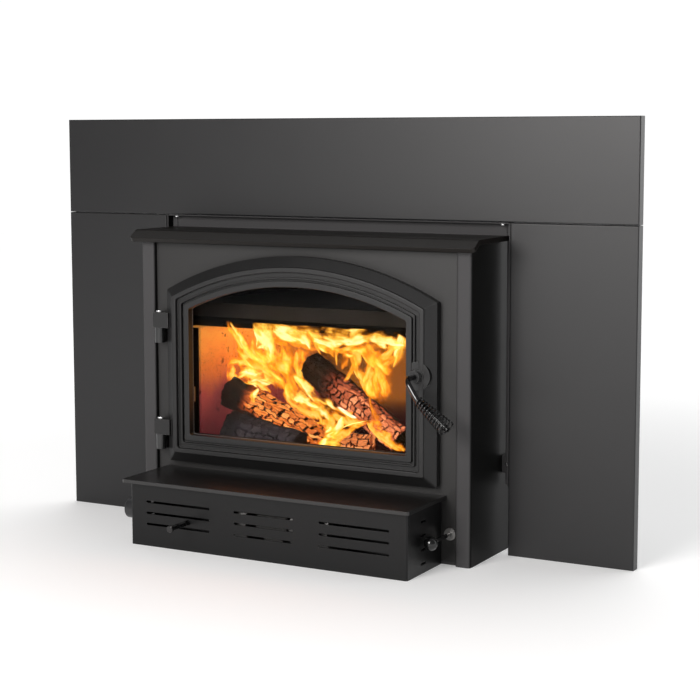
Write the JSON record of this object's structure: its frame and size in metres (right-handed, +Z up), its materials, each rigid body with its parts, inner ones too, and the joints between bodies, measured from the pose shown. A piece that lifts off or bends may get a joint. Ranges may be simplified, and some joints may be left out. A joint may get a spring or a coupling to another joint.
{
  "type": "fireplace insert",
  "caption": "Wood-burning fireplace insert with an arched glass door, spring-grip handle, ash shelf over a blower box, tapered casing and a three-panel surround.",
  "frame": {"origin": "on the hearth, on the centre line, in the plane of the surround's back", "axes": "+X to the viewer's right, +Y into the chimney, +Z up"},
  "size_m": [1.118, 0.634, 0.729],
  "materials": {
    "surround_paint": "satin",
    "stove_paint": "matt",
    "door_casting": "satin",
    "shelf_gloss": "gloss",
    "bare_steel": "satin",
    "firebox_steel": "matt",
    "black_spring": "gloss",
    "bright_steel": "bright",
    "glass": "gloss",
    "rope": "matt",
    "firebrick": "matt",
    "board": "matt",
    "char": "matt",
    "knob_plastic": "gloss",
    "black_knob": "satin"
  },
  "bodies": {
    "insert": {"surround_top_panel": "surround_paint", "surround_left_panel": "surround_paint", "surround_right_panel": "surround_paint", "surround_bolts": "bare_steel", "surround_brackets": "bare_steel", "surround_screws": "bright_steel", "casing_left_side": "stove_paint", "casing_right_side": "stove_paint", "casing_back": "stove_paint", "casing_top": "stove_paint", "base_plate": "stove_paint", "top_plate": "stove_paint", "front_plate": "stove_paint", "firebox_left_side": "firebox_steel", "firebox_right_side": "firebox_steel", "firebox_back": "firebox_steel", "firebox_floor": "firebox_steel", "firebox_top": "firebox_steel", "firebox_skids": "firebox_steel", "flue_collar": "firebox_steel", "floor_bricks": "firebrick", "left_bricks": "firebrick", "right_bricks": "firebrick", "back_bricks": "firebrick", "brick_retainers": "firebox_steel", "log_stop": "firebox_steel", "air_tubes": "bare_steel", "baffle_board": "board", "air_wash_deflector": "firebox_steel", "hinge_barrels": "bare_steel", "hinge_pins": "bright_steel", "latch_catch": "bare_steel", "ash_shelf": "shelf_gloss", "louvre_panel": "stove_paint", "blower_box": "stove_paint", "blower_scrolls": "bare_steel", "blower_motor": "bare_steel", "motor_bracket": "bare_steel", "speed_control": "black_knob", "heat_switch": "bare_steel", "cord_bush": "black_knob", "rod_guides": "bare_steel", "air_boxes": "firebox_steel", "logs": "char"},
    "door": {"door_frame": "door_casting", "door_glass": "glass", "glass_gasket": "rope", "glass_clips": "bare_steel", "clip_screws": "bare_steel", "door_rope": "rope"},
    "handle": {"handle_rod": "stove_paint", "handle_coil": "black_spring", "handle_collars": "stove_paint", "latch_cam": "bare_steel", "cam_nut": "bare_steel"},
    "front_air_rod": {"front_air_rod": "stove_paint"},
    "side_air_rod": {"side_air_rod": "stove_paint"},
    "speed_knob": {"speed_knob": "knob_plastic"},
    "blower_rotor": {"blower_wheels": "bare_steel", "blower_shaft": "bare_steel"}
  },
  "joints": [
    {"name": "door_hinge", "type": "hinge", "parent": "insert", "child": "door", "pos_m": [-0.276, -0.137, 0.27], "axis": [0, 0, -1], "range_deg": [0, 110]},
    {"name": "handle_turn", "type": "hinge", "parent": "door", "child": "handle", "pos_m": [0.232, -0.135, 0.3115], "axis": [0, 1, 0], "range_deg": [-40, 50]},
    {"name": "front_air_slide", "type": "slide", "parent": "insert", "child": "front_air_rod", "axis": [0, -1, 0], "range_m": [-0.035, 0.012]},
    {"name": "side_air_slide", "type": "slide", "parent": "insert", "child": "side_air_rod", "axis": [0, -1, 0], "range_m": [-0.035, 0.012]},
    {"name": "speed_turn", "type": "hinge", "parent": "insert", "child": "speed_knob", "pos_m": [-0.265, -0.226, 0.058], "axis": [-1, 0, 0], "range_deg": [0, 270]},
    {"name": "blower_spin", "type": "hinge", "parent": "insert", "child": "blower_rotor", "pos_m": [0, -0.19, 0.054], "axis": [1, 0, 0], "continuous": true}
  ]
}
